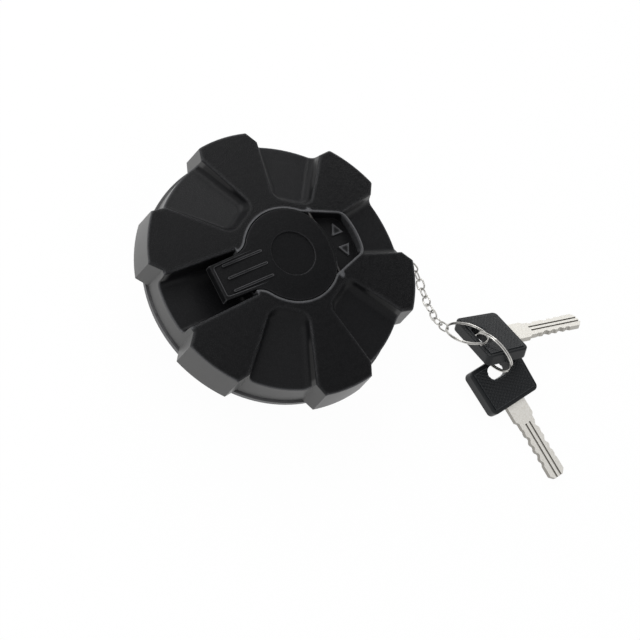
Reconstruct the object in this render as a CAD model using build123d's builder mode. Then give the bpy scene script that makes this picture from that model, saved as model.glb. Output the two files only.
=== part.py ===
from build123d import *
import os
from math import atan2, cos, degrees, hypot, pi, radians, sin, sqrt, tan

os.makedirs("parts", exist_ok=True)

# ---------------------------------------------------------------- driving dimensions (mm)
# The gasket's sealing face is z = 0 and the cap's axis is +Z. The tab of the key cover points to -Y.

# Filler neck that the cap closes
neck_bore_radius = 40.0
neck_lip_depth = 9.4

# Grip shell
lobe_count = 6
shell_bottom = 3.5
side_height = 15.0
side_draft = 4.0
crown_rise = 8.5
dome_radius = 20.0
dome_drop = 1.5
tip_radius = 57.0
tip_half_angle = 11.5
root_radius = 51.8
root_half_angle = 15.4
wall_radius = 52.2
shell_wall = 2.6
crown_edge_fillet = 1.0
cavity_radius = 49.6
cavity_inner_top = 17.6
cavity_outer_top = 11.0
wedge_points = ((31.0, -3.0), (50.5, -9.6), (54.2, -8.4), (54.2, 8.4), (50.5, 9.6), (31.0, 3.0))

# Finger troughs between the lobes
trough_start = 25.8
trough_half_width = 7.2
trough_spread = 0.196
trough_inner_drop = 4.8
trough_edge_drop = 5.0
trough_draft = 20.0
trough_end_draft = 45.0
trough_corner = 4.6
trough_fillet = 3.4
trough_rim_fillet = 1.2

# Slot for the cover's tab
slot_start = 21.5
slot_half_width = 9.3
slot_spread = 0.06
slot_floor = 11.8
slot_fillet = 2.4
slot_keep = 3.4
slot_keep_start = 19.0
slot_keep_half_width = 13.6

# Key cover and its recess
cover_radius = 19.5
cover_gap = 0.35
cover_thickness = 3.3
tab_reach = 34.0
tab_end_half_width = 7.6
tab_root_half_width = 8.4
neck_blend = 8.0
tab_lip_depth = 2.6
tab_lip_start = 22.4
tab_border = 1.3
tab_field_depth = 0.7
field_start = 15.0
rib_count = 3
rib_spacing = 5.4
rib_width = 1.0
rib_height = 0.35
rib_start = 12.2
rib_end = 29.6
cover_edge_fillet = 0.5
dish_radius = 9.2
dish_drop = 1.1
dish_lip = 0.4
bevel_start = 16.4
bevel_drop = 2.7
bevel_offset = 12.0
cover_lift = 0.3
recess_depth = 4.5
hinge_y = 16.4
hinge_drop = 1.3
hinge_pin_radius = 0.6
hinge_pin_reach = 15.5
running_gap = 0.05
side_gap = 0.4

# Thumb pocket beyond the hinge
pocket_shift = -0.4
pocket_start = 12.8
pocket_depth = 7.5
pocket_outer_radius = 32.4
pocket_corner = 4.0
pocket_near_half_width = 14.8
pocket_far_half_width = 9.9
pocket_far = 28.0
pocket_rim = 1.2
arrow_length = 5.0
arrow_half_width = 2.7
arrow_gap = 5.2
arrow_y = 27.4
arrow_height = 0.8

# Hub, lock and clutch
hub_radius = 12.95
hub_shoulder_radius = 15.5
hub_bottom = -8.2
hub_floor = 2.2
barrel_radius = 9.5
barrel_flange_radius = 11.3
barrel_flange = 0.7
barrel_bottom = -0.4
cylinder_radius = 6.5
cylinder_head_radius = 7.3
cylinder_head = 1.2
cylinder_sink = 0.3
keyway_width = 8.6
keyway_height = 2.5
keyway_depth = 17.0
wafer_count = 5
wafer_pitch = 2.6
wafer_width = 10.4
wafer_height = 4.4
wafer_thickness = 1.0
wafer_first = 3.4
tail_width = 5.0
cam_radius = 8.6
cam_thickness = 1.6
cam_gap = 0.2
cam_slot_half_width = 1.0
cam_screw_radius = 2.8
cam_screw_head = 0.9
cam_screw_shank = 1.0
cam_screw_length = 5.0
bolt_travel = 2.6
key_turn = 90.0
bolt_pin_radius = 0.9
bolt_pin_start = 4.1
bolt_width = 3.4
bolt_height = 2.75
bolt_inner_end = 2.7
bolt_recess = 0.35
notch_count = 12
notch_clearance = 0.65
notch_top = -2.0
boss_radius = 18.2
boss_bottom = -7.0

# Plug that enters the neck
plug_clearance = 1.4
plug_wall = 3.0
plug_depth = 24.0
plug_cap_thickness = 3.5
flange_clearance = 2.2
flange_thickness = 2.6
gasket_thickness = 3.0
gasket_clearance = 0.5
gasket_fit = 0.1
gasket_groove = 0.6

# Base ring under the shell
ring_radius = 54.3
ring_bottom = 1.0
ring_lip = 1.7
ring_side_clearance = 0.9
ring_lip_clearance = 0.2
ring_shadow_gap = 0.3
ring_shadow_step = 1.9
ring_screw_circle = 51.4
screw_shank_radius = 1.35
screw_head_radius = 2.4
screw_head_height = 1.5
screw_length = 10.0
screw_boss_radius = 3.3

# Bayonet bridge and its spring
bridge_top = -9.6
ear_reach = 44.6
bridge_slot_centre = 27.0
bridge_slot_length = 14.0
bridge_slot_width = 8.0
bridge_width = 24.0
bridge_thickness = 2.4
bridge_travel = 3.0
bridge_clearance = 0.2
spring_radius = 12.0
spring_wire = 0.9
spring_turns = 3.5
spigot_height = 3.0
drain_radius = 2.0
plug_cap_chamfer = 1.0

# Vent valve in the plug's web
vent_y = 27.0
vent_hole_radius = 1.6
vent_bore_radius = 3.7
vent_tube_radius = 5.2
vent_tube_bottom = -5.6
vent_travel = 1.5
vent_cage_thickness = 1.2
vent_cage_hole = 0.5
vent_poppet_radius = 3.4
vent_poppet_thickness = 1.8
vent_stem_radius = 1.0
vent_stem_length = 4.2
vent_spring_radius = 2.3
vent_spring_wire = 0.25
vent_spring_turns = 4.5

# Plug cap screws
cap_screw_circle = 32.2
cap_screw_angles = (60, 120, 240, 300)
cap_boss_radius = 3.6

# Key chain
eye_angle = 80.0
eye_radius = 56.8
eye_hole_radius = 1.4
eye_lug_run = 6.0
eye_width = 7.0
eye_thickness = 1.6
link_length = 5.8
link_width = 4.2
link_wire = 0.38
link_twist = 94.7
chain_joints = (
    (10.29, 58.35, 3.20),
    (10.29, 58.35, -1.00),
    (9.37, 58.95, -5.05),
    (7.96, 60.24, -8.79),
    (6.48, 62.28, -12.15),
    (5.36, 65.06, -15.10),
    (5.06, 68.46, -17.55),
    (5.94, 72.15, -19.35),
    (8.18, 75.53, -20.44),
    (11.57, 77.96, -20.91),
    (15.64, 78.99, -21.04),
    (19.81, 78.51, -21.19),
    (23.91, 77.59, -21.04),
    (27.95, 76.61, -20.50),
    (31.85, 75.46, -19.42),
    (35.57, 74.27, -17.87),
    (39.17, 73.12, -16.06),
    (42.72, 72.44, -13.91),
    (46.11, 73.09, -11.52),
)

# Split rings: centre, azimuth and tilt of the axis, coil radius and wire radius
chain_ring_centre = (51.801, 79.365, -8.902)
chain_ring_axis = (159.30, 50.00)
chain_ring_radius = 9.3
chain_ring_wire = 0.30
key_ring_centre = (63.161, 89.266, -12.598)
key_ring_axis = (105.94, 11.48)
key_ring_radius = 10.6
key_ring_wire = 0.38

# Keys: hole centre, then azimuth, pitch and roll
key_1_place = ((56.281, 87.200, -13.796), 79.976, -1.002, -32.493)
key_2_place = ((70.678, 89.564, -18.255), 6.554, -4.874, 1.612)
head_back = 5.2
head_front = 16.3
head_back_half_width = 14.3
head_front_half_width = 13.6
head_thickness = 6.2
head_corner = 2.4
head_edge = 0.7
head_field_inset = 1.7
head_field_rise = 0.3
head_hole_length = 12.4
head_hole_width = 6.4
blade_thickness = 2.2
blade_start = 7.5
blade_neck_half_width = 5.2
blade_shoulder = 25.0
blade_half_width = 4.1
blade_tip = 53.5
blade_tip_half_width = 2.2
blade_groove_offset = 1.15
blade_groove_width = 0.9
blade_groove_depth = 0.55
blade_groove_start = 26.5
cut_start = 29.0
cut_pitch = 4.0
cut_depths_left = (0.9, 0.3, 0.9, 0.6, 0.3)
cut_depths_right = (0.3, 0.9, 0.6, 0.9, 0.6)
cut_flat = 0.8

# ---------------------------------------------------------------- levels worked out from them
lobe_edge_height = shell_bottom + side_height
crown_top = lobe_edge_height + crown_rise
side_slope = tan(radians(side_draft))
side_flare = side_height * side_slope
lobe_pitch = 360 / lobe_count
slot_angle = -90.0
trough_angles = [slot_angle + lobe_pitch * (step + 1) for step in range(lobe_count - 1)]
recess_floor = crown_top - dome_drop - recess_depth
cover_underside = crown_top - dome_drop - cover_thickness
pocket_floor = crown_top - dome_drop - pocket_depth
hinge_z = crown_top - dome_drop - hinge_drop
plug_radius = neck_bore_radius - plug_clearance
flange_radius = cavity_radius - flange_clearance
gasket_inner = plug_radius + gasket_fit
gasket_outer = flange_radius - ring_lip - gasket_clearance
flange_top = gasket_thickness + flange_thickness
hub_shoulder = flange_top + ring_lip_clearance


def polar(radius, angle):
    """Point at a radius and an angle in degrees."""
    return (radius * cos(radians(angle)), radius * sin(radians(angle)))


def crown_profile(drop, bottom, reach):
    """Half section under the crown, lowered by a drop, from a level up and out to a radius."""
    with BuildSketch(Plane.XZ) as section:
        with BuildLine():
            dome = ThreePointArc(
                (0, crown_top - drop),
                (dome_radius / 2, crown_top - drop - dome_drop / 4),
                (dome_radius, crown_top - drop - dome_drop),
            )
            slope = TangentArc(dome @ 1, (tip_radius, lobe_edge_height - drop), tangent=dome % 1)
            edge = Line(slope @ 1, (slope @ 1) + (slope % 1) * (reach - tip_radius))
            Polyline(edge @ 1, ((edge @ 1).X, bottom), (0, bottom), dome @ 0)
        make_face()
    return section.sketch


def under_crown(drop, bottom, reach=tip_radius + 4):
    """Solid of everything under the crown surface lowered by a drop."""
    with BuildPart() as body:
        add(crown_profile(drop, bottom, reach))
        revolve(axis=Axis.Z)
    return body.part


def rims_crown(edge, angle):
    """True for the edges that a trough at an angle leaves on the crown."""
    for point in (edge @ 0.02, edge @ 0.5, edge @ 0.98):
        radius = hypot(point.X, point.Y)
        outward = max(radius - dome_radius, 0)
        reach = tip_radius - dome_radius
        pitch = 2 * dome_drop / dome_radius
        bend = (crown_rise - dome_drop - pitch * reach) / reach ** 2
        height = crown_top - dome_drop - pitch * outward - bend * outward ** 2
        if abs(point.Z - height) > 0.35 or radius < dome_radius + 1.5 or radius > tip_radius:
            return False
    middle = edge @ 0.5
    turn = (degrees(atan2(middle.Y, middle.X)) - angle + 180) % 360 - 180
    return abs(turn) < lobe_pitch * 0.35


def shell_plan(height, grow):
    """Plan of the shell's wall and lobes at a height, grown by the side draft."""
    tip = tip_radius + grow
    root = root_radius + grow
    with BuildSketch(Plane.XY.offset(height)) as plan:
        Circle(wall_radius + grow)
        with BuildSketch(mode=Mode.PRIVATE) as lobe:
            with BuildLine():
                arc = ThreePointArc(
                    polar(tip, -tip_half_angle), (tip, 0), polar(tip, tip_half_angle)
                )
                Polyline(
                    arc @ 1,
                    polar(root, root_half_angle),
                    polar(root / 2, root_half_angle),
                    polar(root / 2, -root_half_angle),
                    polar(root, -root_half_angle),
                    arc @ 0,
                )
            make_face()
        with PolarLocations(0, lobe_count):
            add(lobe.sketch)
    return plan.sketch


def trough_tool():
    """Cutter of one finger trough along +X: a sloping floor, drafted flanks and a rounded inner end."""
    inner_level = crown_top - dome_drop - trough_inner_drop
    outer_level = lobe_edge_height - trough_edge_drop
    slope = degrees(atan2(inner_level - outer_level, wall_radius - trough_start))
    floor = Plane(origin=(trough_start, 0, inner_level), z_dir=(sin(radians(slope)), 0, cos(radians(slope))),
                  x_dir=(cos(radians(slope)), 0, -sin(radians(slope))))
    reach = tip_radius - trough_start + 6
    rise = crown_top - outer_level

    def outline(level):
        start = -level * tan(radians(trough_end_draft))
        grow = level * tan(radians(trough_draft))
        near = trough_half_width + trough_spread * start + grow
        far = trough_half_width + trough_spread * reach + grow
        with BuildSketch(floor.offset(level)) as plan:
            with BuildLine():
                Polyline((start, -near), (start, near), (reach, far), (reach, -far), close=True)
            make_face()
            fillet(plan.vertices().sort_by(Axis.X)[:2], trough_corner)
        return plan.sketch

    with BuildPart() as tool:
        loft([outline(0), outline(rise)], ruled=True)
        foot = tool.edges().filter_by(lambda edge: abs(floor.to_local_coords(edge.center()).Z) < 0.001)
        fillet(foot, trough_fillet)
    return tool.part


def slot_tool():
    """Cutter of the straight slot in front of the key cover, along -Y."""
    reach = tip_radius + 6
    near = slot_half_width
    far = slot_half_width + slot_spread * (reach - slot_start)
    with BuildPart() as tool:
        with BuildSketch(Plane.XY.offset(slot_floor)):
            Polygon((-near, -slot_start), (near, -slot_start), (far, -reach), (-far, -reach), align=None)
        extrude(amount=crown_top - slot_floor + 1, taper=-2)
        foot = tool.edges().group_by(Axis.Z)[0]
        fillet(foot, slot_fillet)
    return tool.part


def cover_plan(level, grow):
    """Plan of the key cover, or of its recess when grown: a disc and a tab joined by hollow curves."""
    with BuildSketch(Plane.XY.offset(level)) as plan:
        Circle(cover_radius + grow)
        end = tab_end_half_width + grow
        root = tab_root_half_width + grow
        Polygon((-end, -tab_reach - grow), (end, -tab_reach - grow), (root, 0), (-root, 0), align=None)
        necks = plan.vertices().group_by(lambda point: round(hypot(point.X, point.Y), 3))[0]
        fillet(necks, neck_blend - grow)
    return plan.sketch


def pocket_plan(level, grow):
    """Plan of the thumb pocket behind the key cover's hinge."""
    with BuildSketch(Plane.XY.offset(level)) as plan:
        with Locations((pocket_shift, 0)):
            near = pocket_near_half_width + grow
            far = pocket_far_half_width + grow
            slant = (near - far) / (pocket_far - pocket_start)
            tip = near - slant * (pocket_outer_radius + 4 - pocket_start)
            Polygon(
                (-near, pocket_start),
                (near, pocket_start),
                (tip, pocket_outer_radius + 4),
                (-tip, pocket_outer_radius + 4),
                align=None,
            )
        Circle(pocket_outer_radius + grow, mode=Mode.INTERSECT)
        fillet(plan.vertices().sort_by(Axis.Y)[-2:], pocket_corner + grow)
    return plan.sketch


# ---------------------------------------------------------------- grip shell
trough = trough_tool()
with BuildPart() as pocket_keep:
    add(pocket_plan(0, pocket_rim))
    extrude(amount=crown_top + 5)
with BuildPart() as short_trough:
    add(trough.rotate(Axis.Z, 90))
    add(pocket_keep.part, mode=Mode.SUBTRACT)

with BuildPart() as cavity:
    with BuildSketch(Plane.XZ):
        with BuildLine():
            Polyline(
                (hub_radius, shell_bottom - 0.1),
                (hub_radius, hub_shoulder),
                (hub_shoulder_radius, hub_shoulder),
                (hub_shoulder_radius, cavity_inner_top),
                (cavity_radius, cavity_outer_top),
                (cavity_radius, shell_bottom - 0.1),
                close=True,
            )
        make_face()
    revolve(axis=Axis.Z)
    with BuildPart(mode=Mode.PRIVATE) as wedge:
        with BuildSketch(Plane.XY.offset(shell_bottom - 0.1)):
            Polygon(*wedge_points, align=None)
        extrude(amount=crown_top)
        add(under_crown(shell_wall, shell_bottom - 1), mode=Mode.INTERSECT)
    with PolarLocations(0, lobe_count):
        add(wedge.part)
    with Locations((0, -slot_keep_start, slot_floor - slot_keep)):
        Box(
            2 * slot_keep_half_width,
            tip_radius,
            crown_top,
            align=(Align.CENTER, Align.MAX, Align.MIN),
            mode=Mode.SUBTRACT,
        )
    with PolarLocations(ring_screw_circle, lobe_count):
        Cylinder(
            screw_boss_radius, crown_top, align=(Align.CENTER, Align.CENTER, Align.MIN), mode=Mode.SUBTRACT
        )

with BuildPart() as grip_shell:
    low = shell_plan(shell_bottom, side_flare)
    high = shell_plan(crown_top, side_flare - (crown_top - shell_bottom) * side_slope)
    loft([low, high], ruled=True)
    add(under_crown(0, shell_bottom - 1), mode=Mode.INTERSECT)
    for angle in trough_angles:
        if abs(angle - 90) > 1:
            add(trough.rotate(Axis.Z, angle), mode=Mode.SUBTRACT)
    add(short_trough.part, mode=Mode.SUBTRACT)
    add(slot_tool(), mode=Mode.SUBTRACT)
    for angle in trough_angles + [slot_angle]:
        rims = [edge for edge in grip_shell.edges() if rims_crown(edge, angle)]
        fillet(rims, trough_rim_fillet)
    add(cavity.part, mode=Mode.SUBTRACT)
    add(cover_plan(recess_floor, cover_gap))
    extrude(amount=crown_top - recess_floor + 1, mode=Mode.SUBTRACT)
    extrude(pocket_plan(pocket_floor, 0), amount=crown_top - pocket_floor + 1, mode=Mode.SUBTRACT)
    with Locations((0, hinge_y, hinge_z)):
        Cylinder(hinge_pin_radius, 2 * hinge_pin_reach, rotation=(0, 90, 0), mode=Mode.SUBTRACT)
    with BuildSketch(Plane.XY.offset(pocket_floor)):
        with Locations((pocket_shift, arrow_y)):
            for side in (-1, 1):
                Polygon(
                    (side * (arrow_gap / 2 + arrow_length), 0),
                    (side * arrow_gap / 2, arrow_half_width),
                    (side * arrow_gap / 2, -arrow_half_width),
                    align=None,
                )
    extrude(amount=arrow_height)
    with Locations((0, 0, hub_bottom)):
        Cylinder(hub_radius, hub_shoulder - hub_bottom + 1, align=(Align.CENTER, Align.CENTER, Align.MIN))
    with Locations((0, 0, hub_bottom + hub_floor)):
        Cylinder(
            barrel_radius + running_gap,
            crown_top - hub_bottom,
            align=(Align.CENTER, Align.CENTER, Align.MIN),
            mode=Mode.SUBTRACT,
        )
        Box(
            hub_radius + 1,
            bolt_width + 2 * running_gap,
            bolt_height + 2 * running_gap,
            align=(Align.MIN, Align.CENTER, Align.MIN),
            mode=Mode.SUBTRACT,
        )
    with Locations((0, 0, shell_bottom - 0.1)):
        with PolarLocations(ring_screw_circle, lobe_count):
            Cylinder(
                screw_shank_radius,
                screw_length,
                align=(Align.CENTER, Align.CENTER, Align.MIN),
                mode=Mode.SUBTRACT,
            )
grip_shell.part.label = "grip_shell"
export_step(grip_shell.part, "parts/grip_shell.step")

# ---------------------------------------------------------------- key cover with its pull tab, hinge and pin
bottom_up = (Align.CENTER, Align.CENTER, Align.MIN)


def rims_dish(edge, floor):
    """True for the edges where the dish's wall meets the cover's top."""
    middle = edge @ 0.5
    return abs(hypot(middle.X, middle.Y) - dish_radius) < 0.05 and middle.Z > floor + 0.1


with BuildPart() as key_cover:
    add(cover_plan(cover_underside, 0))
    extrude(amount=crown_top)
    with BuildSketch(Plane.XY.offset(cover_underside - tab_lip_depth)):
        Polygon(
            (-tab_end_half_width, -tab_reach),
            (tab_end_half_width, -tab_reach),
            (tab_end_half_width, -tab_lip_start),
            (-tab_end_half_width, -tab_lip_start),
            align=None,
        )
    extrude(amount=crown_top)
    add(under_crown(-cover_lift, shell_bottom), mode=Mode.INTERSECT)
    top_edges = key_cover.edges().filter_by(lambda edge: (edge @ 0.5).Z > cover_underside + 1.2)
    top_edges = top_edges.filter_by(lambda edge: abs((edge @ 0.1).Z - (edge @ 0.9).Z) < 2.2)
    rim = [edge for edge in top_edges if hypot((edge @ 0.5).X, (edge @ 0.5).Y) > neck_blend + 5]
    fillet(rim, cover_edge_fillet)
    with BuildPart(mode=Mode.PRIVATE) as field:
        with BuildSketch(Plane.XY.offset(cover_underside)):
            inset = tab_end_half_width - tab_border
            Polygon(
                (-inset, -tab_reach + tab_border),
                (inset, -tab_reach + tab_border),
                (inset + 0.8, -field_start),
                (-inset - 0.8, -field_start),
                align=None,
            )
        extrude(amount=crown_top)
        fillet(field.edges().filter_by(Axis.Z), 1.0)
        sink = degrees(tab_field_depth / (tab_reach - field_start))
        hinge = Axis((0, -field_start, crown_top), (1, 0, 0))
        add(under_crown(-cover_lift, shell_bottom).rotate(hinge, sink), mode=Mode.SUBTRACT)
    add(field.part, mode=Mode.SUBTRACT)
    with BuildPart(mode=Mode.PRIVATE) as ribs:
        with BuildSketch(Plane.XY.offset(cover_underside + 1)):
            with GridLocations(rib_spacing, 0, rib_count, 1):
                with Locations((0, -(rib_start + rib_end) / 2)):
                    SlotOverall(rib_end - rib_start, rib_width, rotation=90)
        extrude(amount=crown_top)
        add(under_crown(-cover_lift - rib_height, shell_bottom), mode=Mode.INTERSECT)
    add(ribs.part)
    with Locations((0, 0, crown_top + cover_lift - dish_drop)):
        Cylinder(dish_radius, crown_top, align=bottom_up, mode=Mode.SUBTRACT)
    dish_floor = crown_top + cover_lift - dish_drop
    lip = key_cover.edges().filter_by(lambda edge: rims_dish(edge, dish_floor))
    fillet(lip, dish_lip)
    with BuildPart(mode=Mode.PRIVATE) as bevel:
        level = crown_top - dome_drop * (bevel_start / dome_radius) ** 2 + cover_lift + 0.25
        inner = bevel_start + bevel_offset
        outer = cover_radius + bevel_offset + 0.5
        with BuildSketch(Plane.XZ.offset(bevel_offset)):
            with BuildLine():
                Polyline(
                    (inner, level + 3),
                    (inner, level),
                    (outer, level - bevel_drop),
                    (outer, level + 3),
                    close=True,
                )
            make_face()
        revolve(axis=Axis((0, -bevel_offset, 0), (0, 0, 1)))
    add(bevel.part, mode=Mode.SUBTRACT)
    with Locations((0, hinge_y, hinge_z)):
        Cylinder(
            hinge_pin_radius + running_gap,
            2 * hinge_pin_reach,
            rotation=(0, 90, 0),
            mode=Mode.SUBTRACT,
        )
key_cover.part.label = "key_cover"
export_step(key_cover.part, "parts/key_cover.step")

with BuildPart() as cover_pin:
    with Locations((0, hinge_y, hinge_z)):
        Cylinder(hinge_pin_radius, 2 * hinge_pin_reach, rotation=(0, 90, 0))
    fillet(cover_pin.edges().filter_by(GeomType.CIRCLE), 0.2)
cover_pin.part.label = "cover_pin"
export_step(cover_pin.part, "parts/cover_pin.step")

# ---------------------------------------------------------------- lock: barrel, cylinder, wafers, cam and bolt
cylinder_top = recess_floor + barrel_flange - cylinder_sink
with BuildPart() as lock_barrel:
    with Locations((0, 0, barrel_bottom)):
        Cylinder(barrel_radius, recess_floor - barrel_bottom + barrel_flange, align=bottom_up)
    with Locations((0, 0, recess_floor)):
        Cylinder(barrel_flange_radius, barrel_flange, align=bottom_up)
    fillet(lock_barrel.edges().group_by(Axis.Z)[-1], 0.3)
    with Locations((0, 0, barrel_bottom)):
        Cylinder(
            cylinder_radius + running_gap, crown_top, align=bottom_up, mode=Mode.SUBTRACT
        )
    with Locations((0, 0, cylinder_top - cylinder_head - running_gap)):
        Cylinder(
            cylinder_head_radius + running_gap, crown_top, align=bottom_up, mode=Mode.SUBTRACT
        )
lock_barrel.part.label = "lock_barrel"
export_step(lock_barrel.part, "parts/lock_barrel.step")

wafer_levels = [cylinder_top - wafer_first - wafer_pitch * step for step in range(wafer_count)]
with BuildPart() as lock_cylinder:
    with Locations((0, 0, barrel_bottom)):
        Cylinder(cylinder_radius, cylinder_top - barrel_bottom, align=bottom_up)
    with Locations((0, 0, cylinder_top - cylinder_head)):
        Cylinder(cylinder_head_radius, cylinder_head, align=bottom_up)
    chamfer(lock_cylinder.edges().group_by(Axis.Z)[-1], 0.3)
    tail_length = cam_gap + cam_thickness
    with Locations((0, 0, barrel_bottom - tail_length)):
        Box(tail_width, tail_width, tail_length, align=bottom_up)
    with Locations((0, 0, cylinder_top - keyway_depth)):
        Box(keyway_width, keyway_height, crown_top, align=bottom_up, mode=Mode.SUBTRACT)
    for level in wafer_levels:
        with Locations((0, 0, level - wafer_thickness)):
            Box(wafer_width, wafer_height, wafer_thickness, align=bottom_up, mode=Mode.SUBTRACT)
    with Locations((0, 0, barrel_bottom - tail_length)):
        Cylinder(cam_screw_shank, cam_screw_length, align=bottom_up, mode=Mode.SUBTRACT)
lock_cylinder.part.label = "lock_cylinder"
export_step(lock_cylinder.part, "parts/lock_cylinder.step")

with BuildPart() as lock_wafers:
    for level in wafer_levels:
        with Locations((0, 0, level - wafer_thickness)):
            Box(wafer_width, wafer_height, wafer_thickness, align=bottom_up)
            Box(keyway_width, keyway_height, wafer_thickness, align=bottom_up, mode=Mode.SUBTRACT)
lock_wafers.part.label = "lock_wafers"
export_step(lock_wafers.part, "parts/lock_wafers.step")

cam_top = barrel_bottom - cam_gap
cam_bottom = cam_top - cam_thickness
with BuildPart() as lock_cam:
    with BuildSketch(Plane.XY.offset(cam_bottom)):
        Circle(cam_radius)
        Rectangle(tail_width, tail_width, mode=Mode.SUBTRACT)
        with BuildSketch(mode=Mode.PRIVATE) as groove:
            steps = [-key_turn * step / 4 for step in range(5)]
            radii = [bolt_pin_start + bolt_travel * step / 4 for step in range(5)]
            with BuildLine():
                inner = Spline(*[polar(r - cam_slot_half_width, a) for r, a in zip(radii, steps)])
                outer = Spline(*[polar(r + cam_slot_half_width, a) for r, a in zip(radii, steps)])
                Line(inner @ 0, outer @ 0)
                Line(inner @ 1, outer @ 1)
            make_face()
            with Locations(polar(bolt_pin_start, 0), polar(bolt_pin_start + bolt_travel, -key_turn)):
                Circle(cam_slot_half_width)
        add(groove.sketch, mode=Mode.SUBTRACT)
    extrude(amount=cam_thickness)
lock_cam.part.label = "lock_cam"
export_step(lock_cam.part, "parts/lock_cam.step")

with BuildPart() as cam_screw:
    with Locations((0, 0, cam_bottom - cam_screw_head)):
        Cylinder(cam_screw_radius, cam_screw_head, align=bottom_up)
    fillet(cam_screw.edges().group_by(Axis.Z)[0], 0.4)
    with Locations((0, 0, cam_bottom)):
        Cylinder(cam_screw_shank, cam_screw_length, align=bottom_up)
    with Locations((0, 0, cam_bottom - cam_screw_head)):
        Box(0.8, 8, 0.5, align=bottom_up, mode=Mode.SUBTRACT)
cam_screw.part.label = "cam_screw"
export_step(cam_screw.part, "parts/cam_screw.step")

with BuildPart() as locking_bolt:
    bolt_bottom = hub_bottom + hub_floor + running_gap
    with Locations((bolt_inner_end, 0, bolt_bottom)):
        Box(
            hub_radius - bolt_recess - bolt_inner_end,
            bolt_width,
            bolt_height,
            align=(Align.MIN, Align.CENTER, Align.MIN),
        )
    chamfer(locking_bolt.faces().sort_by(Axis.X)[-1].edges(), 0.4)
    with Locations((bolt_pin_start, 0, bolt_bottom)):
        Cylinder(bolt_pin_radius, cam_top - 0.1 - bolt_bottom, align=bottom_up)
locking_bolt.part.label = "locking_bolt"
export_step(locking_bolt.part, "parts/locking_bolt.step")

# ---------------------------------------------------------------- plug body, gasket and base ring
plug_bottom = -plug_depth + plug_cap_thickness
boss_bore = hub_radius + running_gap
notch_reach = hub_radius - bolt_recess + bolt_travel + notch_clearance
window_top = bridge_top + bridge_clearance
window_bottom = bridge_top - bridge_thickness - bridge_travel - 1.2
with BuildPart() as plug_body:
    with BuildSketch(Plane.XZ):
        with BuildLine():
            Polyline(
                (boss_bore, boss_bottom),
                (boss_bore, flange_top),
                (flange_radius, flange_top),
                (flange_radius, gasket_thickness),
                (plug_radius, gasket_thickness),
                (plug_radius, plug_bottom),
                (plug_radius - plug_wall, plug_bottom),
                (plug_radius - plug_wall, gasket_thickness),
                (boss_radius, gasket_thickness),
                (boss_radius, boss_bottom),
                close=True,
            )
        make_face()
    revolve(axis=Axis.Z)
    with BuildSketch(Plane.XY.offset(plug_bottom)):
        for angle in cap_screw_angles:
            with Locations(polar(cap_screw_circle, angle)):
                Circle(cap_boss_radius)
    extrude(amount=gasket_thickness - plug_bottom)
    with Locations((0, vent_y, vent_tube_bottom)):
        Cylinder(vent_tube_radius, gasket_thickness - vent_tube_bottom, align=bottom_up)
        Cylinder(
            vent_bore_radius,
            gasket_thickness - vent_tube_bottom,
            align=bottom_up,
            mode=Mode.SUBTRACT,
        )
        Cylinder(vent_hole_radius, 30, align=bottom_up, mode=Mode.SUBTRACT)
    with Locations((0, 0, window_bottom)):
        Box(
            4 * plug_radius,
            bridge_width + 2 * side_gap,
            window_top - window_bottom,
            align=bottom_up,
            mode=Mode.SUBTRACT,
        )
    with BuildSketch(Plane.XY.offset(boss_bottom)):
        with PolarLocations(notch_reach / 2, notch_count):
            Rectangle(notch_reach, bolt_width + 0.5)
    extrude(amount=notch_top - boss_bottom, mode=Mode.SUBTRACT)
    with BuildSketch(Plane.XY.offset(plug_bottom)):
        for angle in cap_screw_angles:
            with Locations(polar(cap_screw_circle, angle)):
                Circle(screw_shank_radius)
    extrude(amount=screw_length, mode=Mode.SUBTRACT)
plug_body.part.label = "plug_body"
export_step(plug_body.part, "parts/plug_body.step")

with BuildPart() as gasket:
    with BuildSketch(Plane.XZ):
        Polygon(
            (gasket_inner, 0),
            (gasket_outer, 0),
            (gasket_outer, gasket_thickness),
            (gasket_inner, gasket_thickness),
            align=None,
        )
        with Locations((gasket_outer, gasket_thickness / 2)):
            Circle(gasket_groove, mode=Mode.SUBTRACT)
    revolve(axis=Axis.Z)
gasket.part.label = "gasket"
export_step(gasket.part, "parts/gasket.step")

with BuildPart() as base_ring:
    with BuildSketch(Plane.XZ):
        Polygon(
            (flange_radius - ring_lip, ring_bottom),
            (ring_radius, ring_bottom),
            (ring_radius, shell_bottom - ring_shadow_gap),
            (ring_radius - ring_shadow_step, shell_bottom - ring_shadow_gap),
            (ring_radius - ring_shadow_step, shell_bottom),
            (flange_radius + ring_side_clearance, shell_bottom),
            (flange_radius + ring_side_clearance, gasket_thickness - ring_lip_clearance),
            (flange_radius - ring_lip, gasket_thickness - ring_lip_clearance),
            align=None,
        )
    revolve(axis=Axis.Z)
    with BuildSketch(Plane.XY.offset(ring_bottom)):
        with Locations(Location((0, 0, 0), (0, 0, eye_angle))):
            with Locations((eye_radius, 0)):
                Circle(eye_width / 2)
            with Locations((eye_radius - eye_lug_run / 2, 0)):
                Rectangle(eye_lug_run, eye_width)
    extrude(amount=eye_thickness)
    with BuildSketch(Plane.XY.offset(ring_bottom)):
        with Locations(polar(eye_radius, eye_angle)):
            Circle(eye_hole_radius)
        with PolarLocations(ring_screw_circle, lobe_count):
            Circle(screw_shank_radius)
    extrude(amount=crown_top, mode=Mode.SUBTRACT)
    with Locations((0, 0, ring_bottom + screw_head_height / 2)):
        with PolarLocations(ring_screw_circle, lobe_count):
            Cone(screw_head_radius, screw_shank_radius, screw_head_height, mode=Mode.SUBTRACT)
base_ring.part.label = "base_ring"
export_step(base_ring.part, "parts/base_ring.step")


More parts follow.
